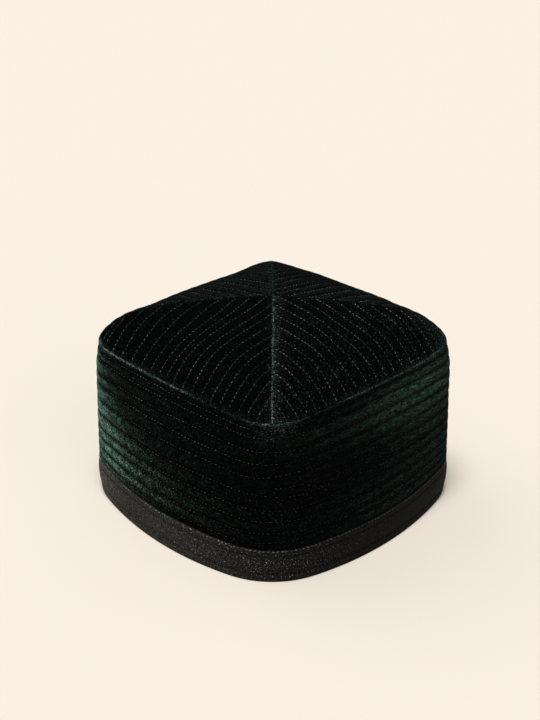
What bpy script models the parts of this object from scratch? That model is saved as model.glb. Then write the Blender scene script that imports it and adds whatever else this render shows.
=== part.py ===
"""Four-cornered skullcap of corded velvet, standing on its hem.

Four quilted gores meet at the top and come down to a rolled edge. A quilted wall hangs from that edge,
and a folded cloth band binds the wall's hem. Lengths are metres, +Z is up, the four sides face along X
and Y, and the origin is on the ground under the middle of the cap.
"""

import math

import bmesh
import bpy
import numpy as np

# Plan of the cap at the hem and at the crown's edge. A half width runs from the middle to a side.
HEM_HALF_WIDTH = 0.0872
HEM_SIDE_RADIUS = 0.179
HEM_CORNER_RADIUS = 0.044
EDGE_HALF_WIDTH = 0.0749
EDGE_SIDE_RADIUS = 1.02
EDGE_CORNER_RADIUS = 0.0225

# Wall of corded velvet, from the ground to the crown's edge, with its narrow ribs at the top.
WALL_HEIGHT = 0.0886
WALL_THICKNESS = 0.0030
WIDE_RIBS = 9
NARROW_RIBS = 2
NARROW_RIB_HEIGHT = 0.0042
WALL_GROOVE_DEPTH = 0.0008

# Cloth band folded round the hem.
BAND_HEIGHT = 0.0180
BAND_INSIDE_HEIGHT = 0.0140
BAND_CLOTH = 0.0010
BAND_SETBACK = 0.0004
BAND_FOLD_ROUNDING = 0.0006

# Crown of four gores. Its height falls away as a cone near the top and rolls over at the edge.
CROWN_RISE = 0.0266
CROWN_THICKNESS = 0.0026
CROWN_SETBACK = 0.0005
CROWN_CONE_SHARE = 0.38
CROWN_ROLL_POWER = 5.3
CROWN_RIBS = 18
CROWN_GROOVE_DEPTH = 0.0008
GORE_TIP = 0.0010
GORE_LIP = 0.0003

# Gap kept between neighbouring pieces.
SEAM_GAP = 0.0003

# Fineness of the faceted solids.
CORNER_STEPS = 3
SIDE_STEPS = 4

# One rib across its width: the groove, then the two shoulders of its flat crest.
RIB_PROFILE = (
    {"across": 0.00, "height": 0.0},
    {"across": 0.27, "height": 1.0},
    {"across": 0.73, "height": 1.0},
)

# Stations of a gore from its seam out to the crown's edge. The cord is pinched flat at both ends.
GORE_STATIONS = (
    {"reach": 0.00, "cord": 0.0},
    {"reach": 0.07, "cord": 1.0},
    {"reach": 0.40, "cord": 1.0},
    {"reach": 0.66, "cord": 1.0},
    {"reach": 0.84, "cord": 1.0},
    {"reach": 0.94, "cord": 1.0},
    {"reach": 1.00, "cord": 0.0},
)

# The gores by the side of the cap that they face, with the bearing of that side from +X in degrees.
GORES = (
    {"name": "gore_right", "bearing": 0.0},
    {"name": "gore_back", "bearing": 90.0},
    {"name": "gore_left", "bearing": 180.0},
    {"name": "gore_front", "bearing": 270.0},
)


def mix(start, end, share):
    """Value a share of the way from start to end."""
    return start + (end - start) * share


class Plan:
    """Rounded square of four bowed sides and four corner arcs, each tangent to the next.

    A side's arc has its centre behind the middle of the cap. A corner's arc has its centre on the
    line from the middle to that corner.
    """

    def __init__(self, half_width, side_radius, corner_radius):
        self.side_radius = side_radius
        self.corner_radius = corner_radius
        self.side_back = side_radius - half_width
        inner_reach = side_radius - corner_radius
        self.corner_out = -self.side_back / math.sqrt(2) + math.sqrt(inner_reach**2 - self.side_back**2 / 2)

    def inset(self, distance):
        """The parallel plan that lies inside this one by a distance."""
        half_width = self.side_radius - self.side_back
        return Plan(half_width - distance, self.side_radius - distance, self.corner_radius - distance)

    def corner_reach(self):
        """Distance from the middle to a corner's tip."""
        return self.corner_out + self.corner_radius

    def tangent_point(self):
        """Where side and corner meet, as distances outward and along the side."""
        shift = self.corner_out / math.sqrt(2)
        towards = np.array([shift + self.side_back, shift])
        towards /= np.linalg.norm(towards)
        return np.array([-self.side_back, 0.0]) + self.side_radius * towards

    def reach_at(self, along):
        """Outward distance of the outline at a distance along the side from its middle."""
        along = abs(along)
        if along <= self.tangent_point()[1]:
            return -self.side_back + math.sqrt(self.side_radius**2 - along**2)
        shift = self.corner_out / math.sqrt(2)
        return shift + math.sqrt(self.corner_radius**2 - (along - shift) ** 2)

    def radius_towards(self, outward, along):
        """Distance from the middle to the outline on the ray through a point of one quarter."""
        bearing = math.atan2(abs(along), outward)
        tangent = self.tangent_point()
        if bearing <= math.atan2(tangent[1], tangent[0]):
            sideways = self.side_back * math.sin(bearing)
            return -self.side_back * math.cos(bearing) + math.sqrt(self.side_radius**2 - sideways**2)
        off_corner = math.pi / 4 - bearing
        sideways = self.corner_out * math.sin(off_corner)
        return self.corner_out * math.cos(off_corner) + math.sqrt(self.corner_radius**2 - sideways**2)

    def points(self):
        """The whole outline as (x, y) rows, counterclockwise from the corner between +X and +Y."""
        shift = self.side_back / math.sqrt(2)
        tangent_bearing = math.atan2(shift, self.corner_out + shift)
        corner_angles = np.linspace(0, tangent_bearing, CORNER_STEPS + 1)[:-1]
        side_angles = np.linspace(tangent_bearing, math.pi / 4, SIDE_STEPS + 1)
        corner = self.corner_radius * np.c_[np.cos(corner_angles), np.sin(corner_angles)]
        side = self.side_radius * np.c_[np.cos(side_angles), np.sin(side_angles)]
        eighth = np.vstack([corner + [self.corner_out, 0], side - shift])
        quarter = np.vstack([eighth, eighth[-2:0:-1, ::-1]])
        turns = []
        for turn in range(4):
            c, s = math.cos((turn + 0.5) * math.pi / 2), math.sin((turn + 0.5) * math.pi / 2)
            turns.append(quarter @ np.array([[c, s], [-s, c]]))
        return np.vstack(turns)


def wall_plan(height):
    """Plan of the wall's outer face at a height, blended from the hem to the crown's edge."""
    share = height / WALL_HEIGHT
    side_radius = 1 / mix(1 / HEM_SIDE_RADIUS, 1 / EDGE_SIDE_RADIUS, share)
    return Plan(
        mix(HEM_HALF_WIDTH, EDGE_HALF_WIDTH, share),
        side_radius,
        mix(HEM_CORNER_RADIUS, EDGE_CORNER_RADIUS, share),
    )


def crown_plan():
    """Plan of the gores' outer edge, set back behind the wall's top rib."""
    return wall_plan(WALL_HEIGHT).inset(CROWN_SETBACK)


def cloth_material(name, colour, roughness, sheen):
    """Matt cloth with a soft sheen, which velvet has more of than plain weave."""
    material = bpy.data.materials.new(name)
    material.use_nodes = True
    shader = material.node_tree.nodes["Principled BSDF"]
    shader.inputs["Base Color"].default_value = (*colour, 1.0)
    shader.inputs["Roughness"].default_value = roughness
    shader.inputs["Metallic"].default_value = 0.0
    shader.inputs["Sheen Weight"].default_value = sheen
    material.diffuse_color = (*colour, 1.0)
    return material


def add_solid(collection, name, vertices, faces, material):
    """Named object from computed vertices and faces, with its faces turned outwards."""
    mesh = bpy.data.meshes.new(name)
    mesh.from_pydata([tuple(v) for v in vertices], [], faces)
    shape = bmesh.new()
    shape.from_mesh(mesh)
    bmesh.ops.recalc_face_normals(shape, faces=shape.faces)
    if shape.calc_volume(signed=True) < 0:
        bmesh.ops.reverse_faces(shape, faces=shape.faces)
    shape.to_mesh(mesh)
    shape.free()
    mesh.materials.append(material)
    mesh.shade_smooth()
    mesh.set_sharp_from_angle(angle=math.radians(50))
    solid = bpy.data.objects.new(name, mesh)
    collection.objects.link(solid)
    return solid


def add_ring_solid(collection, name, profile, material):
    """Closed loft round the cap. The profile is a loop of (height, inset) pairs of one cross-section."""
    rings = []
    for height, inset in profile:
        outline = wall_plan(height).inset(inset).points()
        rings.append(np.c_[outline, np.full(len(outline), height)])
    count = len(rings[0])
    faces = []
    for ring in range(len(rings)):
        after = (ring + 1) % len(rings)
        for i in range(count):
            j = (i + 1) % count
            faces.append((ring * count + i, ring * count + j, after * count + j, after * count + i))
    return add_solid(collection, name, np.vstack(rings), faces, material)


def add_wall(collection, material):
    """Velvet wall: a thin core inside the band, then level ribs up to the crown's edge."""
    core_inset = BAND_SETBACK + BAND_CLOTH + SEAM_GAP
    core_foot = BAND_CLOTH + SEAM_GAP
    ribs_foot = BAND_HEIGHT + SEAM_GAP
    top = WALL_HEIGHT - SEAM_GAP
    profile = [(core_foot, WALL_THICKNESS), (core_foot, core_inset), (ribs_foot, core_inset)]
    narrow_foot = top - NARROW_RIBS * NARROW_RIB_HEIGHT
    grooves = list(np.linspace(ribs_foot, narrow_foot, WIDE_RIBS + 1))
    grooves += list(np.linspace(narrow_foot, top, NARROW_RIBS + 1)[1:])
    for foot, head in zip(grooves[:-1], grooves[1:]):
        for point in RIB_PROFILE:
            profile.append((mix(foot, head, point["across"]), WALL_GROOVE_DEPTH * (1 - point["height"])))
    profile.append((top, WALL_GROOVE_DEPTH))
    profile.append((top, WALL_THICKNESS))
    return add_ring_solid(collection, "wall", profile, material)


def add_hem_band(collection, material):
    """Folded band: an outer leaf, a flat foot to stand on and a lower leaf inside the cap."""
    outer_face = BAND_SETBACK
    outer_back = BAND_SETBACK + BAND_CLOTH
    inner_back = WALL_THICKNESS + SEAM_GAP
    inner_face = inner_back + BAND_CLOTH
    profile = [
        (BAND_HEIGHT, outer_back),
        (BAND_HEIGHT, outer_face),
        (BAND_FOLD_ROUNDING, outer_face),
        (0.0, outer_face + BAND_FOLD_ROUNDING),
        (0.0, inner_face - BAND_FOLD_ROUNDING),
        (BAND_FOLD_ROUNDING, inner_face),
        (BAND_INSIDE_HEIGHT, inner_face),
        (BAND_INSIDE_HEIGHT, inner_back),
        (BAND_CLOTH, inner_back),
        (BAND_CLOTH, outer_back),
    ]
    return add_ring_solid(collection, "hem_band", profile, material)


def crown_height(plan, rise, outward, along):
    """Height of a crown surface over a point of a gore: a cone near the top that rolls over at the edge."""
    share = math.hypot(outward, along) / plan.radius_towards(outward, along)
    fall = CROWN_CONE_SHARE * share + (1 - CROWN_CONE_SHARE) * share**CROWN_ROLL_POWER
    return WALL_HEIGHT + rise * (1 - fall)


def gore_grid(plan, rise, groove_depth, columns):
    """Rows of gore points, one list a column, from the seam out to the edge.

    A column is its place across the gore, from -1 to 1, and how much cord lies under it.
    """
    tip = plan.corner_reach() / math.sqrt(2) - GORE_TIP
    seam_offset = SEAM_GAP / math.sqrt(2)
    grid = []
    for across, cord in columns:
        along = across * tip
        start = abs(along) + seam_offset
        line = []
        for station in GORE_STATIONS:
            outward = mix(start, plan.reach_at(along), station["reach"])
            height = crown_height(plan, rise, outward, along)
            height -= groove_depth * (1 - cord * station["cord"])
            height = max(height, WALL_HEIGHT + GORE_LIP)
            if station["reach"] == 1.0:
                height = WALL_HEIGHT
            line.append((outward, along, height))
        grid.append(line)
    return grid


def add_gore(collection, name, bearing, material):
    """One quarter of the crown: a corded outer face over a plain inner face, closed along its edges."""
    outer_columns = []
    for rib in range(CROWN_RIBS):
        for point in RIB_PROFILE:
            outer_columns.append((2 * (rib + point["across"]) / CROWN_RIBS - 1, point["height"]))
    outer_columns.append((1.0, 0.0))
    inner_columns = [(2 * rib / CROWN_RIBS - 1, 1.0) for rib in range(CROWN_RIBS + 1)]
    outer = gore_grid(crown_plan(), CROWN_RISE, CROWN_GROOVE_DEPTH, outer_columns)
    inner_rise = CROWN_RISE - CROWN_THICKNESS
    inner = gore_grid(crown_plan().inset(CROWN_THICKNESS), inner_rise, 0.0, inner_columns)

    stations = len(GORE_STATIONS)
    first_inner = len(outer) * stations

    def out(column, station):
        return column * stations + station

    def inn(column, station):
        return first_inner + column * stations + station

    faces = []
    for column in range(len(outer) - 1):
        for s in range(stations - 1):
            faces.append((out(column, s), out(column + 1, s), out(column + 1, s + 1), out(column, s + 1)))
    for column in range(len(inner) - 1):
        for s in range(stations - 1):
            faces.append((inn(column, s), inn(column, s + 1), inn(column + 1, s + 1), inn(column + 1, s)))
    per_rib = len(RIB_PROFILE)
    for rib in range(CROWN_RIBS):
        outer_run = [rib * per_rib + step for step in range(per_rib + 1)]
        for s in (0, stations - 1):
            rim = [out(column, s) for column in outer_run] + [inn(rib + 1, s), inn(rib, s)]
            faces.append(rim if s else rim[::-1])
    last = len(outer) - 1
    for s in range(stations - 1):
        faces.append((out(0, s), out(0, s + 1), inn(0, s + 1), inn(0, s)))
        faces.append((out(last, s + 1), out(last, s), inn(CROWN_RIBS, s), inn(CROWN_RIBS, s + 1)))

    c, s = math.cos(math.radians(bearing)), math.sin(math.radians(bearing))
    vertices = []
    for line in outer + inner:
        for outward, along, height in line:
            vertices.append((outward * c - along * s, outward * s + along * c, height))
    return add_solid(collection, name, vertices, faces, material)


def build():
    """Clear the scene and make every piece of the cap."""
    for old in list(bpy.data.objects):
        bpy.data.objects.remove(old)
    collection = bpy.data.collections.new("skullcap")
    bpy.context.scene.collection.children.link(collection)

    velvet = cloth_material("green_velvet", (0.008, 0.028, 0.023), 0.85, 0.6)
    band_cloth = cloth_material("black_band_cloth", (0.020, 0.019, 0.019), 0.80, 0.2)
    add_wall(collection, velvet)
    add_hem_band(collection, band_cloth)
    for gore in GORES:
        add_gore(collection, gore["name"], gore["bearing"], velvet)


build()
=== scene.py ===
"""Four-cornered skullcap of quilted velvet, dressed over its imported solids.

Each velvet piece is a padded shell worked out on a grid: a bowed square plan, a wall that flares to the
hem, a crown of four gores that domes over the edge, and rows of stitching that pinch grooves into the
padding. Lengths are metres and +Z is up. The four sides face along X and Y, and the front one faces -Y.
"""

import math

import bpy
import numpy as np
from bpy.props import FloatProperty, FloatVectorProperty, PointerProperty
from mathutils import Matrix, Vector


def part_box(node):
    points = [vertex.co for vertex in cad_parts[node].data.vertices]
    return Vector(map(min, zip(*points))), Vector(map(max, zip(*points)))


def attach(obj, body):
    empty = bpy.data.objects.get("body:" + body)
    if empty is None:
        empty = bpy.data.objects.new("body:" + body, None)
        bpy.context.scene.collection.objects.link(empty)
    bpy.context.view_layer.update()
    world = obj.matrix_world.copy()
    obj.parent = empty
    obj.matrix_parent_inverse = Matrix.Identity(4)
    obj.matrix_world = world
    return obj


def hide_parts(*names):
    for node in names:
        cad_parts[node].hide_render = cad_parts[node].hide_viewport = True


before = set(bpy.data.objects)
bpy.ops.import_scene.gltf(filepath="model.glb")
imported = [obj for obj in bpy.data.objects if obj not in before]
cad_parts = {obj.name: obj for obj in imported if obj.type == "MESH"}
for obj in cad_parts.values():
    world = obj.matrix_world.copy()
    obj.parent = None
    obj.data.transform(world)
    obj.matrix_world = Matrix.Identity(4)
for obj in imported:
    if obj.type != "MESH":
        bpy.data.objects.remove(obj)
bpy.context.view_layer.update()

HEM_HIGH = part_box("hem_band")[1]
EDGE_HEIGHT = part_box("gore_front")[0][2]

bl_info = {
    "name": "Quilted velvet skullcap",
    "version": (1, 0, 0),
    "blender": (4, 5, 0),
    "location": "View3D > Sidebar > Skullcap",
    "description": "Builds a four-cornered skullcap of quilted velvet with a cloth hem band",
    "category": "Add Mesh",
}

MM = 0.001
BAND_SETBACK = 0.4 * MM

# Stitched rows of the wall's front and back and of its right and left side, as millimetres below the
# crown's edge. The front and back have one row fewer, so one fades out, and each row wanders a little.
WALL_ROWS = {
    "front": (4.2, 8.7, 15.9, 22.6, 31.0, 35.2, 39.7, 47.6, 54.2, 61.4, 67.0),
    "side": (3.6, 8.0, 15.0, 21.5, 27.6, 34.4, 41.2, 47.7, 53.8, 60.0, 65.2),
}
FADING_ROW = 5
ROW_WANDER = 0.35

# Stitched rows of the gores, as millimetres along the crown's edge from the middle of a side, and half the
# edge's length on that scale. Rows run in to the seams, unevenly spaced, as rows stitched by hand are.
GORE_ROWS = {
    "front": (-60.5, -56, -48.5, -40.5, -32, -23.5, -15, -7.5, -1.5, 4, 11, 17, 24, 31, 37, 43, 49, 54.5, 60),
    "right": (
        -60.5, -55, -49, -43, -36, -28, -20.5, -13, -5.5, 2, 9, 16, 23, 30, 36.5, 42.5, 48.5, 54.5, 60.5,
    ),
}
GORE_HALF_EDGE = 66.7

# What sets one gore apart: the bearing that it faces, its list of rows and how far they lean for each metre
# in from the edge, which side meets the front seam, how light its pile is by its two seams, all over, in one
# corner and in a fine line along the rows, how many times wider a row's shade is over the rib that it starts,
# and how light its thread and the tips of its pile are.
HIDDEN_GORE = {
    "front_seam": 0, "seam_nap": (0.1, 0.1), "body": 0.042, "corner": 0.0, "row_nap": 0.0,
    "shade": 1.9, "thread": 1.1, "tips": 0.19,
}
GORES = {
    "right": {
        "bearing": 0, "rows": "right", "lean": -0.03, "front_seam": -1, "seam_nap": (0.24, 0.05),
        "body": 0.0, "corner": 0.16, "row_nap": 0.022, "shade": 1.0, "thread": 0.92, "tips": 0.2,
    },
    "back": {"bearing": 90, "rows": "front", "lean": 0.04, **HIDDEN_GORE},
    "left": {"bearing": 180, "rows": "right", "lean": 0.03, **HIDDEN_GORE},
    "front": {
        "bearing": 270, "rows": "front", "lean": -0.09, "front_seam": 1, "seam_nap": (0.04, 0.06),
        "body": 0.003, "corner": 0.0, "row_nap": 0.04, "shade": 1.0, "thread": 0.56, "tips": 0.12,
    },
}

# How the cap has slumped at the crown's edge: the bearing and reach of each place in degrees, then how far
# the edge is lifted and drawn in there, in millimetres. The slump fades out at a depth below the edge.
SLUMP_DEPTH = 14 * MM
EDGE_SLUMP = (
    (45, 12, 3.0, 2.1), (72, 14, 1.3, 0.0), (124, 9, -1.5, 0.0), (131, 4, -0.7, 0.0), (138, 4, 0.4, 0.0),
    (142, 7, 1.2, 0.0), (161, 12, -0.9, 0.0), (213, 8, -1.4, 0.0), (225, 9, 2.4, 1.2),
)

# How the cloth swells by the left and right corner: some heights and the reach of each, then how far the
# cloth stands out and is lifted there, all in millimetres. The width is a share of a side's angle.
SWELL_WIDTH = 0.25
CORNER_SWELL = ((74, 12, 0.4, 0.0), (20, 9, 0.0, 3.0), (10, 8, 1.3, 0.0))


def linear(hex_colour):
    """Linear red, green and blue of an sRGB hex colour."""
    channels = [int(hex_colour[i : i + 2], 16) / 255 for i in (1, 3, 5)]
    return tuple(c / 12.92 if c <= 0.04045 else ((c + 0.055) / 1.055) ** 2.4 for c in channels)


def length(name, text, default):
    """A length that the user can change, in metres."""
    return FloatProperty(name=name, description=text, default=default, min=0, unit="LENGTH", precision=5)


def colour(name, text, hex_colour):
    """A colour that the user can change."""
    default = linear(hex_colour)
    return FloatVectorProperty(
        name=name, description=text, default=default, subtype="COLOR", size=3, min=0, max=1
    )


def light_strength(name, text, default):
    """The strength of a light that the user can change."""
    return FloatProperty(name=name, description=text, default=default, min=0)


class CapSizes(bpy.types.PropertyGroup):
    hem_half_width: length("Hem half width", "Middle to side at the hem", HEM_HIGH[0] + BAND_SETBACK)
    hem_side_radius: length("Hem side radius", "Bow of a side at the hem", 0.179)
    hem_corner_radius: length("Hem corner radius", "Rounding of a corner at the hem", 0.044)
    edge_half_width: length("Edge half width", "Middle to side at the crown's edge", 0.0749)
    edge_side_radius: length("Edge side radius", "Bow of a side at the crown's edge", 1.02)
    edge_corner_radius: length("Edge corner radius", "Rounding of a corner at the crown's edge", 0.0225)
    wall_height: length("Wall height", "Ground to the crown's edge", EDGE_HEIGHT)
    hem_stretch: length("Hem stretch", "Draws the hem out at its front and back corner", 0.001)
    wall_bulge: length("Wall bulge", "Swell of the padding half way up", 0.0009)
    wall_thickness: length("Wall thickness", "Thickness of the padded wall", 0.003)
    crown_rise: length("Crown rise", "Peak over the crown's edge", 0.0266)
    crown_thickness: length("Crown thickness", "Thickness of the padded gores", 0.0026)
    crown_setback: length("Crown setback", "From the wall's face in to the gores", 0.0005)
    band_height: length("Band height", "Height of the hem band outside", HEM_HIGH[2])
    band_inside: length("Band inside height", "Height of the band inside the cap", 0.014)
    band_cloth: length("Band cloth", "Thickness of the band's cloth", 0.001)
    band_flare: length("Band flare", "From the band's top out to its foot", 0.0003)
    band_fold: length("Band fold", "Rounding of the fold under the hem", 0.0005)
    groove_depth: length("Groove depth", "Depth of a stitched row in the padding", 0.0007)
    groove_reach: length("Groove reach", "Reach of the pull beside a stitched row", 0.001)
    seam_gap: length("Seam gap", "Gap between neighbouring pieces", 0.0003)
    stitch_pitch: length("Stitch pitch", "From one stitch to the next", 0.0023)
    stitch_length: length("Stitch length", "Length of thread that shows", 0.0012)
    thread_width: length("Thread width", "Thickness of the sewing thread", 0.00021)


class CapColours(bpy.types.PropertyGroup):
    velvet_shade: colour("Velvet shade", "Where the pile stands upright", "#020202")
    # Velvet light is mixed in by the pile's lean, which also holds painted sheen, lit rib crests and shaded
    # rows, and velvet tips fleck the painted highlight along the rolled edge.
    velvet_light: colour("Velvet light", "Where the pile leans", "#A4DDCC")
    velvet_tips: colour("Velvet tips", "Worn tips of the pile", "#95A3A5")
    velvet_sheen: colour("Velvet sheen", "Glow of the pile seen along the cloth", "#80B4B0")
    band: colour("Band", "Cloth of the hem band", "#020303")
    # Band fleck is also mixed in all over by the band's fade, which holds painted light by the left corner.
    band_fleck: colour("Band fleck", "Worn thread tips of the hem band", "#B9B8AC")
    thread: colour("Thread", "Sewing thread", "#B8C2BD")
    backing: colour("Backing", "Plain cloth on the inside", "#1B1C1B")


class StageSettings(bpy.types.PropertyGroup):
    floor: colour("Floor", "Pale floor", "#EFE8DF")
    world: colour("Surroundings", "Light from all round", "#FFFDFA")
    world_strength: light_strength("Surroundings strength", "Light from all round", 0.2)
    top_strength: light_strength("Top light", "Soft light from above", 2.5)
    left_strength: light_strength("Left light", "Soft light from the left", 0.42)
    right_strength: light_strength("Right light", "Soft light from the right", 0.3)


# Shape


def corner_centre(half_width, side_radius, corner_radius):
    """Place of a corner arc's centre in a bowed square, which is the same distance along both axes.

    A side is an arc centred behind the middle, and the corner's arc touches both of its sides from inside,
    so their centres lie apart by the difference of their radii.
    """
    side_back = side_radius - half_width
    return np.sqrt((side_radius - corner_radius) ** 2 / 2 - side_back**2 / 4) - side_back / 2


def plan_radius(half_width, side_radius, corner_radius, bearing):
    """Distance from the middle to the outline of a bowed square on each bearing from +X.

    On a side the ray meets the side's arc, and near a corner the corner's arc. Each is the far root of the
    ray's quadratic with that circle, and they change over where the two arcs touch.
    """
    side_back = side_radius - half_width
    centre = corner_centre(half_width, side_radius, corner_radius)
    meeting = np.arctan2(centre, centre + side_back)
    change = np.arctan2(side_radius * np.sin(meeting), side_radius * np.cos(meeting) - side_back)
    folded = np.abs((bearing + math.pi / 4) % (math.pi / 2) - math.pi / 4)
    on_side = np.sqrt(side_radius**2 - (side_back * np.sin(folded)) ** 2) - side_back * np.cos(folded)
    off_corner = math.pi / 4 - folded
    corner_out = centre * math.sqrt(2)
    under_root = np.maximum(corner_radius**2 - (corner_out * np.sin(off_corner)) ** 2, 0)
    on_corner = corner_out * np.cos(off_corner) + np.sqrt(under_root)
    return np.where(folded <= change, on_side, on_corner)


def plan_reach(half_width, side_radius, corner_radius, along):
    """Outward distance of a bowed square's outline at a distance along a side from its middle."""
    side_back = side_radius - half_width
    centre = corner_centre(half_width, side_radius, corner_radius)
    limit = side_radius * math.sin(math.atan2(centre, centre + side_back))
    on_side = np.sqrt(side_radius**2 - along**2) - side_back
    on_corner = centre + np.sqrt(np.maximum(corner_radius**2 - (np.abs(along) - centre) ** 2, 0))
    return np.where(np.abs(along) <= limit, on_side, on_corner)


def ring_points(sizes, height, inset, bearing):
    """Points of the wall's surface for matching arrays of height, inset and bearing.

    The plan's sizes blend from the hem to the edge, the wall swells by a parabola half way up, and the inset
    draws the whole plan in. Towards the hem the front and back corners are drawn out and the side ones in,
    by a sine of twice the bearing.
    """
    share = height / sizes.wall_height
    half_width = sizes.hem_half_width + (sizes.edge_half_width - sizes.hem_half_width) * share
    half_width = half_width + sizes.wall_bulge * 4 * share * (1 - share)
    bow = 1 / sizes.hem_side_radius + (1 / sizes.edge_side_radius - 1 / sizes.hem_side_radius) * share
    corner = sizes.hem_corner_radius + (sizes.edge_corner_radius - sizes.hem_corner_radius) * share
    radius = plan_radius(half_width - inset, 1 / bow - inset, corner - inset, bearing)
    radius = radius - sizes.hem_stretch * (1 - share) ** 6 * np.sin(2 * bearing)
    points = np.stack([radius * np.cos(bearing), radius * np.sin(bearing), height + 0 * radius], axis=-1)
    return slumped(sizes, points)


def slumped(sizes, points):
    """Points moved as the cap has slumped, so gently that neighbours stay clear of each other.

    Each row of EDGE_SLUMP is a bell curve round the cap, which fades down the wall by a square and in over
    the crown by a cube. Each row of CORNER_SWELL is a bell curve up the wall by its left and right corner.
    """
    x, y, z = np.moveaxis(points, -1, 0)
    bearing, distance = np.arctan2(y, x), np.hypot(x, y)
    edge = plan_radius(sizes.edge_half_width, sizes.edge_side_radius, sizes.edge_corner_radius, bearing)
    by_edge = np.minimum(distance / edge, 1) ** 3
    by_edge = by_edge * np.clip(1 - (sizes.wall_height - z) / SLUMP_DEPTH, 0, 1) ** 2
    lift, out = 0 * z, 0 * z
    for place, reach, raised, drawn_in in EDGE_SLUMP:
        share = by_edge * bell(from_corner(bearing, place), reach / 90)
        lift = lift + raised * MM * share
        out = out - drawn_in * MM * share
    right, left = (bell(from_corner(bearing, corner), SWELL_WIDTH) for corner in (RIGHT_CORNER, LEFT_CORNER))
    for height, reach, swell, raised in CORNER_SWELL:
        share = (right + left) * bell(z - height * MM, reach * MM)
        lift = lift + raised * MM * share
        out = out + swell * MM * share
    scale = 1 + out / np.maximum(distance, MM)
    return np.stack([x * scale, y * scale, z + lift], axis=-1)


def waves(angle, seed, low, high):
    """Gentle unevenness that closes round a circle: sines of random phase, each weaker than the last."""
    phases = np.random.default_rng(seed).uniform(0, math.tau, high - low + 1)
    return sum(np.sin(n * angle + phase) / (n - low + 1) for n, phase in zip(range(low, high + 1), phases))


def bell(distance, reach):
    """1 at no distance, falling off to both sides as a bell curve."""
    return np.exp(-((distance / reach) ** 2))


def from_corner(bearing, corner):
    """Share of a side's angle between each bearing and a corner, whose bearing is in degrees."""
    away = (bearing - math.radians(corner) + math.pi) % math.tau - math.pi
    return np.abs(away) / (math.pi / 2)


def unit(vectors):
    """Vectors brought to a length of one."""
    return vectors / np.maximum(np.linalg.norm(vectors, axis=-1, keepdims=True), 1e-12)


def surface_normals(points):
    """Outward unit normals of a grid of points: the cross product of its differences both ways."""
    normals = unit(np.cross(np.gradient(points, axis=0), np.gradient(points, axis=1)))
    outwards = (normals * points).sum() > 0
    return normals if outwards else -normals


def grid_faces(rows, columns, closed_rows=False, closed_columns=False):
    """Four-sided faces between neighbouring points of a grid, wrapped round where it is closed."""
    r = np.arange(rows if closed_rows else rows - 1)[:, None]
    c = np.arange(columns if closed_columns else columns - 1)[None, :]
    r_next, c_next = (r + 1) % rows, (c + 1) % columns
    corners = [r * columns + c, r * columns + c_next, r_next * columns + c_next, r_next * columns + c]
    return np.stack(corners, axis=-1).reshape(-1, 4)


def facing_out(points, faces):
    """The faces of a closed mesh of four-sided faces, turned round if they enclose a negative volume."""
    a, b, c, d = (points.reshape(-1, 3)[faces[:, i]] for i in range(4))
    volume = (a * np.cross(b, c)).sum() + (a * np.cross(c, d)).sum()
    return faces if volume > 0 else faces[:, ::-1]


def add_to_scene(name, data):
    """A new object of the scene that holds the data."""
    thing = bpy.data.objects.new(name, data)
    bpy.context.scene.collection.objects.link(thing)
    return thing


def add_piece(name, points, face_groups, materials, material_index=None, attributes=None):
    """A smooth-shaded piece from an array of points and an array of faces for each count of corners."""
    corners = np.concatenate([np.full(len(faces), faces.shape[1]) for faces in face_groups])
    mesh = bpy.data.meshes.new(name)
    mesh.vertices.add(points.size // 3)
    mesh.vertices.foreach_set("co", points.astype(np.float32).ravel())
    mesh.loops.add(int(corners.sum()))
    loops = np.concatenate([faces.ravel() for faces in face_groups])
    mesh.loops.foreach_set("vertex_index", loops.astype(np.int32))
    mesh.polygons.add(len(corners))
    mesh.polygons.foreach_set("loop_start", (np.cumsum(corners) - corners).astype(np.int32))
    mesh.polygons.foreach_set("use_smooth", np.ones(len(corners), bool))
    for material in materials:
        mesh.materials.append(material)
    if material_index is not None:
        mesh.polygons.foreach_set("material_index", material_index.astype(np.int32))
    mesh.update(calc_edges=True)
    for key, values in (attributes or {}).items():
        layer = mesh.attributes.new(key, "FLOAT", "POINT")
        layer.data.foreach_set("value", values.astype(np.float32).ravel())
    piece = add_to_scene(name, mesh)
    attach(piece, "root")
    return piece


def between(where, along, values):
    """Values of a row's points at some lengths along it, each axis on its own."""
    return np.stack([np.interp(where, along, axis) for axis in values.T], axis=-1)


# How far stitches are off their even places, as a share of the pitch, and the spread of their tones, with a
# power by which most are dim.
STITCH_JITTER = 0.12
STITCH_TONES = (0.2, 1.1)
STITCH_TONE_POWER = 1.7

# Points along a thread: the share of its half length, and there its thickness and how far it is raised, as
# shares of its radius. The whole thread is raised by one more such share.
THREAD_SHAPE = ((-1.0, 0.35, -0.9), (-0.62, 1.0, 0.0), (0.62, 1.0, 0.0), (1.0, 0.35, -0.9))
THREAD_SIDES = 5
THREAD_RAISED = 0.1


def stitch_run(points, normals, tones, sizes, rng, start=0.0):
    """Stitches along a row, almost evenly spaced: their places, directions, normals and tones."""
    pitch = sizes.stitch_pitch
    steps = np.linalg.norm(np.diff(points, axis=0), axis=1)
    along = np.concatenate([[0], np.cumsum(steps)])
    middles = np.arange(start + rng.uniform(0, pitch), along[-1] - start, pitch)
    middles = middles + rng.uniform(-STITCH_JITTER, STITCH_JITTER, len(middles)) * pitch
    place = between(middles, along, points)
    ahead = between(middles + pitch / 4, along, points) - place
    tone = np.interp(middles, along, tones) * rng.uniform(*STITCH_TONES, len(middles)) ** STITCH_TONE_POWER
    return place, ahead, between(middles, along, normals), tone


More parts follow.
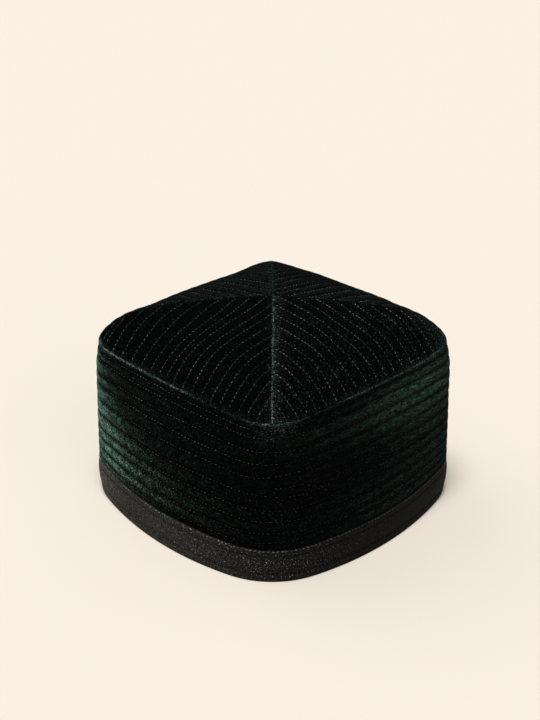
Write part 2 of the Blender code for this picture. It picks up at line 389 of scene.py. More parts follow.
def add_stitches(name, runs, sizes):
    """Threads that show between two needle holes: short tubes that dip at both ends."""
    place, ahead, normal, tone = (np.concatenate([run[i] for run in runs]) for i in range(4))
    ahead = unit(ahead)
    normal = unit(normal - (normal * ahead).sum(1, keepdims=True) * ahead)
    side = np.cross(ahead, normal)
    share, thick, rise = np.array(THREAD_SHAPE).T[:, :, None]
    turn = -np.arange(THREAD_SIDES) * math.tau / THREAD_SIDES
    radius = sizes.thread_width / 2
    forward = share * sizes.stitch_length / 2
    up = radius * (THREAD_RAISED + rise + thick * np.sin(turn))
    across = radius * thick * np.cos(turn)
    points = (
        place[:, None, None, :]
        + forward[None, :, :, None] * ahead[:, None, None, :]
        + up[None, :, :, None] * normal[:, None, None, :]
        + across[None, :, :, None] * side[:, None, None, :]
    )
    count = share.size * turn.size
    first = np.arange(len(place))[:, None, None] * count
    sides = (first + grid_faces(share.size, turn.size, closed_columns=True)).reshape(-1, 4)
    ring = np.arange(turn.size)
    ends = (first + np.stack([ring[::-1], count - turn.size + ring])).reshape(-1, turn.size)
    materials, tones = [cap_material("spun_sewing_thread")], {"tone": np.repeat(tone, count)}
    return add_piece(name, points, [sides, ends], materials, attributes=tones)


# Materials


def add_node(tree, kind, inputs, output=0, **settings):
    """Adds a node with its settings, gives its inputs values or links, and returns one of its outputs."""
    node = tree.nodes.new(kind)
    for key, value in settings.items():
        setattr(node, key, value)
    for key, value in inputs.items():
        if isinstance(value, bpy.types.NodeSocket):
            tree.links.new(value, node.inputs[key])
        else:
            node.inputs[key].default_value = value
    return node.outputs[output]


def new_material(name, viewport_colour, shader_values):
    """A node material with the given values on its Principled shader, and its node tree and shader."""
    material = bpy.data.materials.new(name)
    material.use_nodes = True
    material.diffuse_color = (*viewport_colour, 1)
    shader = material.node_tree.nodes["Principled BSDF"]
    for key, value in shader_values.items():
        shader.inputs[key].default_value = value
    return material, material.node_tree, shader


NOISE, STEP, MATHS, MIX = "ShaderNodeTexNoise", "ShaderNodeMapRange", "ShaderNodeMath", "ShaderNodeMix"
PLACE, ATTRIBUTE, BUMP = "ShaderNodeTexCoord", "ShaderNodeAttribute", "ShaderNodeBump"
SOFT_STEP = {"interpolation_type": "SMOOTHSTEP"}
SCALE_ADD = {"operation": "MULTIPLY_ADD"}
PILE_KEYS = ("nap", "brushed", "tips")

# Sizes of each cloth's grain, drawn coarser than real tufts and threads so that they show.
TUFT, STREAK, CLUMP, WORN_TIP = 0.75 * MM, 0.65 * MM, 4.0 * MM, 0.7 * MM
BAND_THREAD, BAND_FLECK, BACK_THREAD = 0.8 * MM, 0.6 * MM, 0.9 * MM
# Share of its light that a thread keeps where it sinks into the pile.
SUNK_THREAD = 0.004


def velvet_material(colours):
    """Cotton velvet with a short cut pile.

    The pile swallows light that falls along it, so the cloth is nearly black face on, and it glows green
    where the pile is brushed over. Its lean also carries painted light: painted sheen by the side corners,
    painted light on the rib crests with painted shade in the stitched rows, and a painted highlight along
    the wall's rolled edge. Tufts that lean catch the light, which gives a fine light grain, and crushed
    clumps mottle it.
    """
    sheen = {"Sheen Weight": 0.02, "Sheen Roughness": 0.3, "Sheen Tint": (*colours.velvet_sheen, 1)}
    shader_values = {"Roughness": 0.95, "Specular IOR Level": 0.01, **sheen}
    material, tree, shader = new_material("cut_pile_velvet", colours.velvet_light, shader_values)
    place = add_node(tree, PLACE, {}, "Object")
    nap, brushed, tips = (add_node(tree, ATTRIBUTE, {}, "Fac", attribute_name=key) for key in PILE_KEYS)
    # Tufts of pile catch the light one by one.
    tuft_noise = add_node(tree, NOISE, {"Vector": place, "Scale": 1 / TUFT, "Detail": 4, "Roughness": 0.7})
    tufts = add_node(tree, STEP, {"Value": tuft_noise, "From Min": 0.46, "From Max": 0.66}, **SOFT_STEP)
    # Brushed pile lies in fine streaks, six times as long as high, level with the rows.
    level = add_node(tree, "ShaderNodeMapping", {"Vector": place, "Scale": (0.16, 0.16, 1)})
    streaks = add_node(tree, NOISE, {"Vector": level, "Scale": 1 / STREAK, "Detail": 4, "Roughness": 0.75})
    streaks = add_node(tree, STEP, {"Value": streaks, "From Min": 0.43, "From Max": 0.65}, **SOFT_STEP)
    combed = add_node(tree, MATHS, {0: tufts, 1: 0.4, 2: 0.03}, **SCALE_ADD)
    combed = add_node(tree, MATHS, {0: streaks, 1: 0.62, 2: combed}, **SCALE_ADD)
    grain = add_node(tree, MIX, {0: brushed, 2: tufts, 3: combed}, data_type="FLOAT")
    # Crushed pile is mottled by clumps, and brushed pile much less.
    clumps = add_node(tree, NOISE, {"Vector": place, "Scale": 1 / CLUMP, "Detail": 3, "Roughness": 0.6})
    clumps = add_node(tree, STEP, {"Value": clumps, "From Min": 0.36, "From Max": 0.64}, **SOFT_STEP)
    crushed = add_node(tree, MATHS, {0: clumps, 1: 0.7, 2: 0.3}, **SCALE_ADD)
    smoothed = add_node(tree, MATHS, {0: clumps, 1: 0.3, 2: 0.58}, **SCALE_ADD)
    mottle = add_node(tree, MIX, {0: brushed, 2: crushed, 3: smoothed}, data_type="FLOAT")
    # The pile's lean holds painted light and shade as well: sheen by the side corners, lit rib crests, shaded
    # stitched rows and the rolled edge's highlight.
    lean = add_node(tree, MATHS, {0: nap, 1: mottle, 2: 0.003}, **SCALE_ADD)
    amount = add_node(tree, MATHS, {0: grain, 1: lean}, operation="MULTIPLY")
    shade, light = (*colours.velvet_shade, 1), (*colours.velvet_light, 1)
    pile = add_node(tree, MIX, {0: amount, 6: shade, 7: light}, 2, data_type="RGBA")
    # Worn tips are single specks, and they run together where the pile is rubbed most.
    specks = add_node(tree, NOISE, {"Vector": place, "Scale": 1 / WORN_TIP, "Detail": 1, "Roughness": 0.5})
    rare = add_node(tree, MATHS, {0: tips, 1: -0.43, 2: 0.72}, **SCALE_ADD)
    worn = add_node(tree, STEP, {"Value": specks, "From Min": rare, "From Max": 0.78}, **SOFT_STEP)
    worn = add_node(tree, MATHS, {0: worn, 1: tips}, operation="MULTIPLY")
    base = add_node(tree, MIX, {0: worn, 6: pile, 7: (*colours.velvet_tips, 1)}, 2, data_type="RGBA")
    bump = add_node(tree, BUMP, {"Strength": 0.7, "Distance": 0.5 * MM, "Height": tuft_noise})
    tree.links.new(base, shader.inputs["Base Color"])
    tree.links.new(bump, shader.inputs["Normal"])
    return material


def band_material(colours):
    """Black cotton sateen, a little paled: matt warm black, with light flecks where threads are worn.
    Its fade also holds painted light by the left corner, and painted shade along the sewn rows.
    """
    sheen = {"Sheen Weight": 0.02, "Sheen Roughness": 0.5}
    shader_values = {"Roughness": 0.85, "Specular IOR Level": 0.06, **sheen}
    material, tree, shader = new_material("black_cotton_sateen", colours.band, shader_values)
    place = add_node(tree, PLACE, {}, "Object")
    faded_and_lit, worn = (add_node(tree, ATTRIBUTE, {}, "Fac", attribute_name=key) for key in ("faded_and_lit", "worn"))
    weave = add_node(tree, NOISE, {"Vector": place, "Scale": 1 / BAND_THREAD, "Detail": 3, "Roughness": 0.7})
    grain = add_node(tree, STEP, {"Value": weave, "From Min": 0.36, "From Max": 0.64})
    cloth = add_node(tree, MATHS, {0: grain, 1: faded_and_lit}, operation="MULTIPLY")
    flecks = add_node(tree, NOISE, {"Vector": place, "Scale": 1 / BAND_FLECK, "Detail": 2, "Roughness": 0.6})
    flecks = add_node(tree, STEP, {"Value": flecks, "From Min": 0.64, "From Max": 0.74}, **SOFT_STEP)
    # The fade term lifts the cloth towards the fleck colour, and this includes painted light by the left
    # corner.
    flecks = add_node(tree, MATHS, {0: flecks, 1: worn, 2: cloth}, **SCALE_ADD)
    plain, fleck = (*colours.band, 1), (*colours.band_fleck, 1)
    base = add_node(tree, MIX, {0: flecks, 6: plain, 7: fleck}, 2, data_type="RGBA")
    bump = add_node(tree, BUMP, {"Strength": 0.5, "Distance": 0.3 * MM, "Height": weave})
    tree.links.new(base, shader.inputs["Base Color"])
    tree.links.new(bump, shader.inputs["Normal"])
    return material


def backing_material(colours):
    """Plain cotton backing of the padded pieces: dull charcoal cloth with a faint open weave."""
    shader_values = {"Roughness": 0.9, "Specular IOR Level": 0.2}
    material, tree, shader = new_material("plain_cotton_backing", colours.backing, shader_values)
    place = add_node(tree, PLACE, {}, "Object")
    weave = add_node(tree, NOISE, {"Vector": place, "Scale": 1 / BACK_THREAD, "Detail": 2, "Roughness": 0.5})
    open_weave = add_node(tree, STEP, {"Value": weave, "From Min": 0.35, "From Max": 0.7}, **SOFT_STEP)
    light = [min(1.0, c * 2.2) for c in colours.backing]
    mixed = {0: open_weave, 6: (*colours.backing, 1), 7: (*light, 1)}
    base = add_node(tree, MIX, mixed, 2, data_type="RGBA")
    bump = add_node(tree, BUMP, {"Strength": 0.3, "Distance": 0.2 * MM, "Height": weave})
    tree.links.new(base, shader.inputs["Base Color"])
    tree.links.new(bump, shader.inputs["Normal"])
    return material


def thread_material(colours):
    """Spun polyester sewing thread, grey green and faintly glossy, darker where it sinks into the pile."""
    shader_values = {"Roughness": 0.6, "Specular IOR Level": 0.2}
    material, tree, shader = new_material("spun_sewing_thread", colours.thread, shader_values)
    tone = add_node(tree, ATTRIBUTE, {}, "Fac", attribute_name="tone")
    sunk = [c * SUNK_THREAD for c in colours.thread]
    mixed = {0: tone, 6: (*sunk, 1), 7: (*colours.thread, 1)}
    base = add_node(tree, MIX, mixed, 2, data_type="RGBA")
    tree.links.new(base, shader.inputs["Base Color"])
    return material


MATERIAL_MAKERS = {
    "cut_pile_velvet": velvet_material,
    "black_cotton_sateen": band_material,
    "plain_cotton_backing": backing_material,
    "spun_sewing_thread": thread_material,
}


def cap_material(name):
    """The material of a name, made once from the colours that the user set."""
    return bpy.data.materials.get(name) or MATERIAL_MAKERS[name](bpy.context.scene.cap_colours)


# Pieces

WALL_COLUMNS = 560
BAND_COLUMNS = 520
GORE_STEPS = 72
RIB_STEPS = 9
INNER_STEPS = 12
CORNERS = FRONT_CORNER, RIGHT_CORNER, LEFT_CORNER = 315, 45, 225
# Reach of a row's shade over the rib that it starts and over the one that it ends.
SHADE_AHEAD, SHADE_BEHIND = 1.7 * MM, 0.9 * MM


def rib_split():
    """Shares of a rib's width where its points lie, closer together by the stitching: a cosine's."""
    return (1 - np.cos(np.arange(RIB_STEPS) * math.pi / RIB_STEPS)) / 2


def side_share(bearing):
    """0 over the front and back walls, 1 over the right and left ones, and a short change at each corner."""
    return 0.5 + 0.5 * np.tanh(5 * np.cos(2 * bearing)) / math.tanh(5)


def groove_drop(sizes, before, after, strength_before=1.0, strength_after=1.0):
    """How far two rows of stitching pull the padding down: each pull falls off exponentially."""
    pull_before = strength_before * np.exp(-before / sizes.groove_reach)
    pull_after = strength_after * np.exp(-after / sizes.groove_reach)
    return sizes.groove_depth * (pull_before + pull_after)


def rib_light(before, after, strength_before=1.0, strength_after=1.0):
    """Painted light on a rib's pile across its width: 0 in the rows beside it and 1 on its crest.

    Each row's painted shade falls off as a bell curve, further over the rib that it starts than over the one
    that it ends, as on a cord lit from one side.
    """
    shade = strength_before * bell(before, SHADE_AHEAD) + strength_after * bell(after, SHADE_BEHIND)
    return 1 - np.clip(shade, 0, 1)


def wall_grid(sizes):
    """Bearings, heights, insets and painted rib light of the wall's outer face, and its stitched grid rows.

    Columns start at the front corner and lie closer together at the corners, by a sine. Rows of points
    follow the stitched rows, with ribs between them. The last two millimetres swell a little and turn in.
    """
    turn = np.arange(WALL_COLUMNS)[None, :] / WALL_COLUMNS * math.tau
    bearing = turn - math.pi / 4 - 0.045 * np.sin(4 * turn)
    top = sizes.wall_height - sizes.seam_gap
    foot = sizes.band_height + sizes.seam_gap
    share = side_share(bearing)
    lines, strengths = [np.full_like(bearing, foot)], [np.ones_like(bearing)]
    rows = enumerate(zip(WALL_ROWS["front"], WALL_ROWS["side"]))
    for index, (front, side) in reversed(list(rows)):
        below = front + (side - front) * share + ROW_WANDER * waves(bearing, 40 + index, 2, 18)
        lines.append(sizes.wall_height - MM * below)
        strengths.append(share if index == FADING_ROW else np.ones_like(bearing))
    lines.append(np.full_like(bearing, top))
    strengths.append(np.ones_like(bearing))
    heights, insets, lights = [], [], []
    for rib in range(len(lines) - 1):
        height = lines[rib] + (lines[rib + 1] - lines[rib]) * rib_split()[:, None]
        rows = (height - lines[rib], lines[rib + 1] - height, strengths[rib], strengths[rib + 1])
        heights.append(height)
        insets.append(groove_drop(sizes, *rows))
        uneven = np.clip(0.95 + 0.15 * waves(bearing, 80 + rib, 3, 24), 0.3, 1.2)
        # Painted light on each rib's crest and painted shade in its stitched rows, a little uneven round the
        # cap.
        lights.append(rib_light(*rows[:2], rows[2] * uneven, rows[3] * uneven))
    heights = np.concatenate([*heights, lines[-1]])
    insets = np.concatenate([*insets, np.full_like(bearing, sizes.groove_depth)])
    lights = np.concatenate([*lights, np.zeros_like(bearing)])
    roll = np.clip(1 - (top - heights) / (2.0 * MM), 0, 1)
    insets = insets - 0.15 * MM * np.sin(math.pi * roll) + 0.5 * MM * roll**6
    up = np.clip((heights - foot) / (top - foot), 0, 1)
    slump = 0.15 * MM * waves(bearing, 7, 3, 9) * np.sin(math.pi * up)
    join = 0.3 * MM * np.exp(-from_corner(bearing, FRONT_CORNER) / 0.005)
    return bearing, heights, insets + slump + join, lights, np.arange(1, len(lines) - 1) * RIB_STEPS


def wall_nap(sizes, bearing, heights, lights):
    """How far the wall's pile leans, with painted light and shade, and how worn its tips are.

    It is lightest at the left corner and low down beside it, less at the right corner and high up beside it,
    partly as pile that leans over and partly as painted light and sheen from the side lights. Painted shade
    darkens it in the stitched rows. A painted highlight runs along the rolled edge, and its tips are worn
    there, as they are under the front corner.
    """
    below = sizes.wall_height - heights
    drop = below / (sizes.wall_height - sizes.band_height)
    front, right, left = (from_corner(bearing, corner) for corner in CORNERS)
    # Painted light and sheen by the left corner, partly real brushed pile, are widest low down, and those
    # by the right corner high up.
    by_left = np.exp(-((left / (0.055 + 0.175 * bell(drop - 0.85, 0.33))) ** 1.2))
    by_left = np.clip(1.5 * by_left, 0, 1) * (0.6 + 0.4 * np.minimum(drop / 0.3, 1)) + 0.03 * bell(left, 0.7)
    high = bell(drop - 0.2, 0.2)
    by_right = (0.088 + 0.13 * high) * bell(right, 0.35 + 0.2 * high) * (1 - 0.5 * bell(right, 0.12))
    by_right = by_right + 0.03 * bell(right - 0.55, 0.2) * bell(drop - 0.9, 0.2)
    # By the corners the pile is partly brushed and partly painted sheen of the side lights, lit by painted
    # light on the rib crests and darkened by painted shade in the stitched rows.
    brushed = by_left * (0.02 + 1.75 * lights**1.6) + by_right * (0.03 + 1.17 * lights)
    # The rolled edge gets a painted highlight, stronger near the left and right corners, and worn tips.
    ridge = 0.2 + 0.65 * bell(left - 0.3, 0.33) + 0.25 * bell(right, 0.5)
    uneven = np.clip(0.75 + 0.2 * waves(bearing, 61, 9, 40), 0.2, 1)
    rolled = ridge * bell(below - 0.65 * MM, 0.42 * MM) * uneven
    by_front = bell(front, 0.08) * bell(below, 9 * MM)
    nap = brushed + 0.4 * rolled + 0.05 * by_front
    speckled = np.maximum(1 - side_share(bearing), bell(front, 0.45))
    tips = 0.04 + 0.09 * speckled + 0.1 * by_left + 0.11 * bell(right - 0.35, 0.3)
    tips = tips + rolled + 0.26 * by_front
    return np.clip(nap, 0, 1), np.clip(tips, 0, 1)


def pile_attributes(shape, outside, **values):
    """The pile's attributes for all of a velvet piece's points: values on its outer face, 0 elsewhere."""
    attributes = {key: np.zeros(shape) for key in PILE_KEYS}
    for key, value in values.items():
        attributes[key][outside] = value
    return attributes


def add_velvet(name, points, faces, plain, attributes):
    """A velvet piece in which the faces marked as plain have the plain backing."""
    materials = [cap_material("cut_pile_velvet"), cap_material("plain_cotton_backing")]
    return add_piece(name, points, [facing_out(points, faces)], materials, plain, attributes)


def make_wall(sizes):
    """The padded wall, which is a loop of points carried round the cap, and its stitches."""
    bearing, heights, insets, lights, stitched = wall_grid(sizes)
    outer = ring_points(sizes, heights, insets, bearing)
    core_inset = BAND_SETBACK + sizes.band_cloth + sizes.seam_gap
    core_foot = sizes.band_cloth + sizes.seam_gap
    foot = sizes.band_height + sizes.seam_gap
    inner_heights = np.linspace(sizes.wall_height - sizes.seam_gap, core_foot, INNER_STEPS)
    profile = [(height, sizes.wall_thickness) for height in inner_heights]
    profile += [(core_foot, core_inset), (foot, core_inset)]
    rest_heights, rest_insets = np.array(profile).T[:, :, None]
    points = np.concatenate([outer, ring_points(sizes, rest_heights, rest_insets, bearing)])
    faces = grid_faces(len(points), WALL_COLUMNS, closed_rows=True, closed_columns=True)
    plain = np.repeat(np.arange(len(points)) >= len(outer), WALL_COLUMNS)
    nap, tips = wall_nap(sizes, bearing, heights, lights)
    brushed = np.maximum(side_share(bearing), bell(from_corner(bearing, LEFT_CORNER), 0.2))
    outside = np.s_[: len(outer)]
    attributes = pile_attributes(points.shape[:2], outside, nap=nap, brushed=brushed, tips=tips)
    piece = add_velvet("wall_velvet", points, faces, plain, attributes)
    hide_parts("wall")

    normals = surface_normals(outer)
    rng = np.random.default_rng(5)
    drop = (sizes.wall_height - heights[stitched]) / sizes.wall_height
    by_front_corner = bell(from_corner(bearing, FRONT_CORNER), 0.2)
    on_side = side_share(bearing)
    tones = on_side * (0.01 + 0.13 * by_front_corner)
    tones = tones + (1 - on_side) * (0.78 - 0.64 * drop) * (1 - 0.4 * by_front_corner)
    whole = [(0, WALL_COLUMNS + 1)]
    two_sides = [(0, WALL_COLUMNS // 4), (WALL_COLUMNS // 2, WALL_COLUMNS // 4)]
    runs = []
    for index, row, tone in zip(reversed(range(len(stitched))), stitched, tones):
        for first, count in two_sides if index == FADING_ROW else whole:
            loop = np.arange(first, first + count) % WALL_COLUMNS
            runs.append(stitch_run(outer[row, loop], normals[row, loop], tone[loop], sizes, rng))
    add_stitches("wall_stitches", runs, sizes)


def make_hem_band(sizes):
    """The folded band, with an outer leaf, a rounded fold and an inner leaf, and its stitches."""
    bearing = (np.arange(BAND_COLUMNS) / BAND_COLUMNS * math.tau - math.pi / 4)[None, :]
    back = BAND_SETBACK + sizes.band_cloth
    inner_back = sizes.wall_thickness + sizes.seam_gap
    inner_face = inner_back + sizes.band_cloth
    fold = sizes.band_fold
    rows = {"top": sizes.band_height - 0.7 * MM, "upper": sizes.band_height - 3.8 * MM, "low": 4.4 * MM}
    outer_heights = np.linspace(sizes.band_height, fold, 48)
    faces_in = BAND_SETBACK - sizes.band_flare * (1 - outer_heights / sizes.band_height)
    for key in ("upper", "low"):
        faces_in = faces_in + 0.5 * MM * np.exp(-np.abs(outer_heights - rows[key]) / (0.6 * MM))
    quarter = np.linspace(0, math.pi / 2, 5)
    profile = list(zip(outer_heights, faces_in))
    profile += [(fold * (1 - math.sin(a)), faces_in[-1] + fold * (1 - math.cos(a))) for a in quarter[1:]]
    profile += [(fold * (1 - math.cos(a)), inner_face - fold * (1 - math.sin(a))) for a in quarter]
    profile += [(height, inner_face) for height in np.linspace(fold, sizes.band_inside, 8)[1:]]
    profile += [(sizes.band_inside, inner_back), (sizes.band_cloth, inner_back)]
    profile += [(sizes.band_cloth, back), (sizes.band_height, back)]
    heights, insets = np.array(profile).T[:, :, None]
    on_outside = np.arange(len(profile))[:, None] < len(outer_heights)
    sway = 0.12 * MM * waves(bearing, 23, 4, 16) * on_outside * heights / sizes.band_height
    points = ring_points(sizes, heights, insets + sway, bearing)
    faces = facing_out(points, grid_faces(len(points), BAND_COLUMNS, closed_rows=True, closed_columns=True))
    by_front = bell(from_corner(bearing, FRONT_CORNER - 12), 0.32)
    by_left = bell(from_corner(bearing, LEFT_CORNER), 0.22)
    beside_left = bell(from_corner(bearing, LEFT_CORNER + 45), 0.45)
    sewn = np.max([bell(heights - rows[key], 0.5 * MM) for key in ("upper", "low")], axis=0)
    # In the sewn rows painted shade darkens the cloth and hides its flecks, less so beside the left corner.
    sewn_row_shade_factor = 1 - (0.95 - 0.5 * beside_left) * sewn
    attributes = {
        "worn": sewn_row_shade_factor * (0.08 + 1.0 * by_left + 0.35 * beside_left + 1.1 * by_front),
        # The fade is the cloth's own, plus painted light by the left corner and along the side next to it.
        "faded_and_lit": sewn_row_shade_factor * (0.013 + 0.23 * by_left + 0.09 * beside_left),
    }
    materials = [cap_material("black_cotton_sateen")]
    piece = add_piece("hem_band_cloth", points, [faces], materials, attributes=attributes)
    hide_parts("hem_band")

    rng = np.random.default_rng(8)
    runs = []
    loop = np.arange(BAND_COLUMNS + 1) % BAND_COLUMNS
    brightness = {"top": 0.9, "upper": 0.1, "low": 0.1}
    for key, height in rows.items():
        row = points[np.abs(outer_heights - height).argmin()][loop]
        outward = unit(row * np.array([1, 1, 0]))
        tone = brightness[key] * (0.3 + 0.7 * np.max([by_front, by_left, beside_left], axis=0))[0, loop]
        runs.append(stitch_run(row, outward, tone, sizes, rng))
    add_stitches("band_stitches", runs, sizes)


# The cone's share of the crown's rise, the power that rolls the rest over, the rounding of the plan's corners
# by the peak, and the power by which it goes over to the edge's.
CROWN_CONE = 0.38
CROWN_ROLL = 5.3
SEAM_ROUNDING = 1.0 * MM
SEAM_SHARPNESS = 3.0
# How far a gore's tip stops short of the corner, the depth of a seam's groove as a share of a row's, and how
# far from its ends a row of stitches starts.
GORE_TIP = 0.25 * MM
SEAM_GROOVE = 0.3
FIRST_STITCH = 1.2 * MM


def gore_surface(sizes, inset, columns, reach, wander, lean):
    """Points of a gore's face: columns run along the edge, and reach runs from the seam out to the edge.

    The height falls from the peak as a cone, plus a power of the distance that rolls the crown over at its
    edge. The distance is a share of the plan: of one with sharp corners by the peak, so that the seams are
    ridges, and of the rounded one at the edge.
    """
    inset = inset + sizes.crown_setback
    half_width, side_radius = sizes.edge_half_width - inset, sizes.edge_side_radius - inset
    plan = (half_width, side_radius, sizes.edge_corner_radius - inset)
    tip = corner_centre(*plan) + plan[2] / math.sqrt(2) - GORE_TIP
    across = columns[:, None]
    along = across * tip + (wander + lean * half_width * (1 - reach) * (1 - np.abs(across))) * (1 - across**2)
    start = np.abs(along)
    outward = start + (plan_reach(*plan, along) - start) * reach
    bearing, distance = np.arctan2(along, outward), np.hypot(outward, along)
    rounded = np.minimum(distance / plan_radius(*plan, bearing), 1)
    sharp = np.minimum(distance / plan_radius(half_width, side_radius, SEAM_ROUNDING, bearing), 1)
    share = sharp + (rounded - sharp) * rounded**SEAM_SHARPNESS
    rise = sizes.crown_rise - (inset - sizes.crown_setback)
    height = sizes.wall_height + rise * (1 - CROWN_CONE * share - (1 - CROWN_CONE) * share**CROWN_ROLL)
    return np.stack([outward, along, height], axis=-1), tip


def turned(points, degrees):
    """Points turned about Z by an angle."""
    c, s = math.cos(math.radians(degrees)), math.sin(math.radians(degrees))
    return points @ np.array([[c, s, 0], [-s, c, 0], [0, 0, 1]])


def gore_nap(gore, across, from_seam, from_edge, light):
    """How far a gore's pile leans, with painted light and shade, and how worn its tips are: most along the
    front seam.

    Painted light lies on the ribs' crests and painted shade in the rows beside them, and the pile leans a
    little in a fine line along the rows, by a power of their shade.
    """
    seam_nap = np.where(across < 0, *gore["seam_nap"])
    by_seam = seam_nap * np.exp(-from_seam / (8 * MM * seam_nap + 1.0 * MM))
    on_front = across * gore["front_seam"] > 0
    uneven = np.clip(0.75 + 0.5 * waves(across * 8, 31, 2, 30), 0.15, 1.3)
    seam_line = on_front * uneven * bell(from_seam, 0.7 * MM)
    in_corner = gore["corner"] * bell(1 - across, 0.18)
    # The lean is scaled by painted light on the rib crests and painted shade in the rows.
    nap = (by_seam + in_corner + gore["body"]) * (0.1 + 0.9 * light) + gore["row_nap"] * (1 - light) ** 4
    nap = nap + 0.2 * seam_line + 0.05 * bell(from_edge, 1.2 * MM)
    by_front = 0.12 * bell(1 - across * gore["front_seam"], 0.12)
    tips = gore["tips"] + 0.4 * seam_line + 0.15 * on_front * np.exp(-from_seam / (3 * MM)) + by_front
    return np.clip(nap, 0, 1), np.clip(tips, 0, 1)


def make_gore(sizes, side):
    """One padded gore: an outer face with stitched rows, a plain inner face, and edges between the two."""
    gore = GORES[side]
    bearing = gore["bearing"]
    lines = np.array([-GORE_HALF_EDGE, *GORE_ROWS[gore["rows"]], GORE_HALF_EDGE]) / GORE_HALF_EDGE
    columns = np.append((lines[:-1, None] + np.diff(lines)[:, None] * rib_split()).ravel(), lines[-1])
    stitched = np.arange(1, len(lines) - 1) * RIB_STEPS
    reach = 0.5 - 0.5 * np.cos(math.pi * np.linspace(0, 1, GORE_STEPS))[None, :]
    seed = bearing + 3
    wander = 1.0 * MM * waves(columns[:, None] * 2.5 + reach * 3, seed, 1, 4)
    outer, tip = gore_surface(sizes, 0.0, columns, reach, wander, gore["lean"])
    inner, _ = gore_surface(sizes, sizes.crown_thickness, columns, reach, 0.0, 0.0)
    normals = surface_normals(outer)
    rib = np.clip(np.searchsorted(lines, columns, "right") - 1, 0, len(lines) - 2)
    rows = ((columns - lines[rib]) * tip, (lines[rib + 1] - columns) * tip)
    drop, light = groove_drop(sizes, *rows)[:, None], rib_light(rows[0] / gore["shade"], rows[1])[:, None]
    drop[[0, -1]] *= SEAM_GROOVE
    span = np.linalg.norm(outer[:, -1] - outer[:, 0], axis=1)[:, None]
    from_seam, from_edge = reach * span, (1 - reach) * span
    seams = 0.25 * MM * np.exp(-from_seam / (0.8 * MM)) + 0.4 * MM * np.exp(-from_edge / (1.2 * MM))
    slump = 0.2 * MM * waves(columns[:, None] * 3 + reach * 2, seed + 50, 1, 5)
    slump = slump * (1 - np.exp(-from_seam / (4 * MM)))
    outer = outer - normals * ((drop + seams + slump) * np.clip(span / (6 * MM), 0, 1))[..., None]
    outer[..., 2] = np.maximum(outer[..., 2], sizes.wall_height)
    outer[:, -1, 2] = inner[:, -1, 2] = sizes.wall_height
    points = np.concatenate([outer, inner[:, ::-1]], axis=1)
    count_columns, count_loop = points.shape[:2]
    sides = grid_faces(count_columns, count_loop, closed_columns=True)
    step = np.arange(GORE_STEPS - 1)
    strip = np.stack([step, step + 1, count_loop - 2 - step, count_loop - 1 - step], axis=-1)
    ends = [strip[:, ::-1], strip + (count_columns - 1) * count_loop]
    inside = np.arange(count_loop)
    inside = (inside >= GORE_STEPS - 1) & (inside < count_loop - 1)
    plain = np.concatenate([np.tile(inside, count_columns - 1), np.zeros(2 * len(strip), bool)])
    nap, tips = gore_nap(gore, outer[..., 1] / tip, from_seam, from_edge, light)
    attributes = pile_attributes(points.shape[:2], np.s_[:, :GORE_STEPS], nap=nap, tips=tips)
    points = slumped(sizes, turned(points, bearing))
    piece = add_velvet("velvet_gore_" + side, points, np.concatenate([sides, *ends]), plain, attributes)
    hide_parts("gore_" + side)
    rng = np.random.default_rng(seed)
    rows, up = slumped(sizes, turned(outer[stitched], bearing)), turned(normals[stitched], bearing)
    tones = gore["thread"] * (0.75 + 0.25 * waves(reach[0] * 4 + 0 * outer[stitched, :, 0], seed + 9, 1, 5))
    tones = np.clip(tones, 0.1, 1.2)
    return [stitch_run(*row, sizes, rng, FIRST_STITCH) for row in zip(rows, up, tones)]


# Operators


class SKULLCAP_OT_crown(bpy.types.Operator):
    """Builds the four padded gores of the crown and their stitches"""

    bl_idname = "skullcap.crown"
    bl_label = "Crown gores"
    bl_options = {"REGISTER", "UNDO"}

    def execute(self, context):
        sizes = context.scene.cap_sizes
        runs = [run for side in GORES for run in make_gore(sizes, side)]
        add_stitches("crown_stitches", runs, sizes)
        return {"FINISHED"}


class SKULLCAP_OT_wall(bpy.types.Operator):
    """Builds the padded wall and its stitches"""

    bl_idname = "skullcap.wall"
    bl_label = "Wall"
    bl_options = {"REGISTER", "UNDO"}

    def execute(self, context):
        make_wall(context.scene.cap_sizes)
        return {"FINISHED"}


class SKULLCAP_OT_hem_band(bpy.types.Operator):
    """Builds the folded hem band and its stitches"""

    bl_idname = "skullcap.hem_band"
    bl_label = "Hem band"
    bl_options = {"REGISTER", "UNDO"}

    def execute(self, context):
        make_hem_band(context.scene.cap_sizes)
        return {"FINISHED"}


CAMERA_AZIMUTH = math.radians(45.296)
CAMERA_ELEVATION = math.radians(28.09)
CAMERA_DISTANCE = 0.7292
CAMERA_PIVOT = Vector((0, 0, 0.05))
CAMERA_AIM = Vector((-0.0012, -0.0012, 0.0758))
CAMERA_ROLL = math.radians(0.119)
CAMERA_LENS = 66.1
# Level to the camera's right, level towards it, and up.
RIGHT = Vector((math.cos(CAMERA_AZIMUTH), math.sin(CAMERA_AZIMUTH), 0))
NEAR = Vector((math.sin(CAMERA_AZIMUTH), -math.cos(CAMERA_AZIMUTH), 0))
UP = Vector((0, 0, 1))


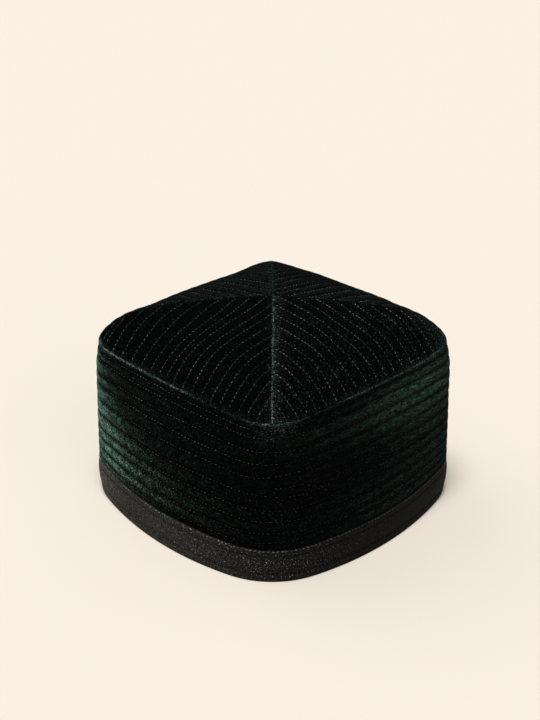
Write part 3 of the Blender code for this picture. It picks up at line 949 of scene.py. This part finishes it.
def add_camera():
    """A camera that looks down on the front corner."""
    back = NEAR * math.cos(CAMERA_ELEVATION) + UP * math.sin(CAMERA_ELEVATION)
    eye = CAMERA_PIVOT + CAMERA_DISTANCE * back
    forward = (CAMERA_AIM - eye).normalized()
    right = forward.cross(UP).normalized()
    axes = Matrix((right, right.cross(forward), -forward)).transposed()
    data = bpy.data.cameras.new("camera")
    data.lens = CAMERA_LENS
    data.sensor_width = 36
    data.clip_start = 0.01
    camera = add_to_scene("camera", data)
    roll = Matrix.Rotation(CAMERA_ROLL, 4, "Z")
    camera.matrix_world = Matrix.Translation(eye) @ axes.to_4x4() @ roll
    bpy.context.scene.camera = camera


def add_soft_light(name, right, up, back, strength, spread):
    """A wide even light from a direction given as right of, above and towards the camera from the cap."""
    data = bpy.data.lights.new(name, "SUN")
    data.energy = strength
    data.angle = math.radians(spread)
    data.color = linear("#FFFBF5")
    light = add_to_scene(name, data)
    light.location = RIGHT * right + NEAR * back + UP * up
    light.rotation_euler = light.location.to_track_quat("Z", "Y").to_euler()


class SKULLCAP_OT_stage(bpy.types.Operator):
    """Adds a pale floor, soft studio lights and the camera"""

    bl_idname = "skullcap.stage"
    bl_label = "Stage"
    bl_options = {"REGISTER", "UNDO"}

    def execute(self, context):
        scene = context.scene
        settings = scene.cap_stage
        scene.view_settings.view_transform = "Standard"
        reach = 6.0
        corners = [(-reach, -reach, 0), (reach, -reach, 0), (reach, reach, 0), (-reach, reach, 0)]
        mesh = bpy.data.meshes.new("floor")
        mesh.from_pydata(corners, [], [(0, 1, 2, 3)])
        shader_values = {"Base Color": (*settings.floor, 1), "Roughness": 0.9, "Specular IOR Level": 0.0}
        material, _, _ = new_material("matt_paper_floor", settings.floor, shader_values)
        mesh.materials.append(material)
        add_to_scene("floor", mesh)
        world = bpy.data.worlds.new("studio")
        world.use_nodes = True
        background = world.node_tree.nodes["Background"]
        background.inputs["Color"].default_value = (*settings.world, 1)
        background.inputs["Strength"].default_value = settings.world_strength
        scene.world = world
        add_soft_light("top_light", -0.2, 3.0, 0.45, settings.top_strength, 26)
        add_soft_light("left_light", -2.0, 2.6, -1.5, settings.left_strength, 50)
        add_soft_light("right_light", 2.0, 1.6, 2.4, settings.right_strength, 50)
        add_camera()
        return {"FINISHED"}


class SKULLCAP_PT_panel(bpy.types.Panel):
    """Lists the steps that build the skullcap"""

    bl_idname = "SKULLCAP_PT_panel"
    bl_label = "Skullcap"
    bl_space_type = "VIEW_3D"
    bl_region_type = "UI"
    bl_category = "Skullcap"

    def draw(self, context):
        for operator in STEPS:
            self.layout.operator(operator.bl_idname)
        for place, group in SETTINGS.items():
            column = self.layout.column()
            for key in group.__annotations__:
                column.prop(getattr(context.scene, place), key)


STEPS = (SKULLCAP_OT_crown, SKULLCAP_OT_wall, SKULLCAP_OT_hem_band, SKULLCAP_OT_stage)
SETTINGS = {"cap_sizes": CapSizes, "cap_colours": CapColours, "cap_stage": StageSettings}
CLASSES = (*SETTINGS.values(), *STEPS, SKULLCAP_PT_panel)


def register():
    for item in CLASSES:
        bpy.utils.register_class(item)
    for place, group in SETTINGS.items():
        setattr(bpy.types.Scene, place, PointerProperty(type=group))


def unregister():
    for place in reversed(SETTINGS):
        delattr(bpy.types.Scene, place)
    for item in reversed(CLASSES):
        bpy.utils.unregister_class(item)


def main():
    """Builds the cap and its stage."""
    register()
    bpy.ops.skullcap.stage()
    bpy.ops.skullcap.crown()
    bpy.ops.skullcap.wall()
    bpy.ops.skullcap.hem_band()


if __name__ == "__main__":
    main()
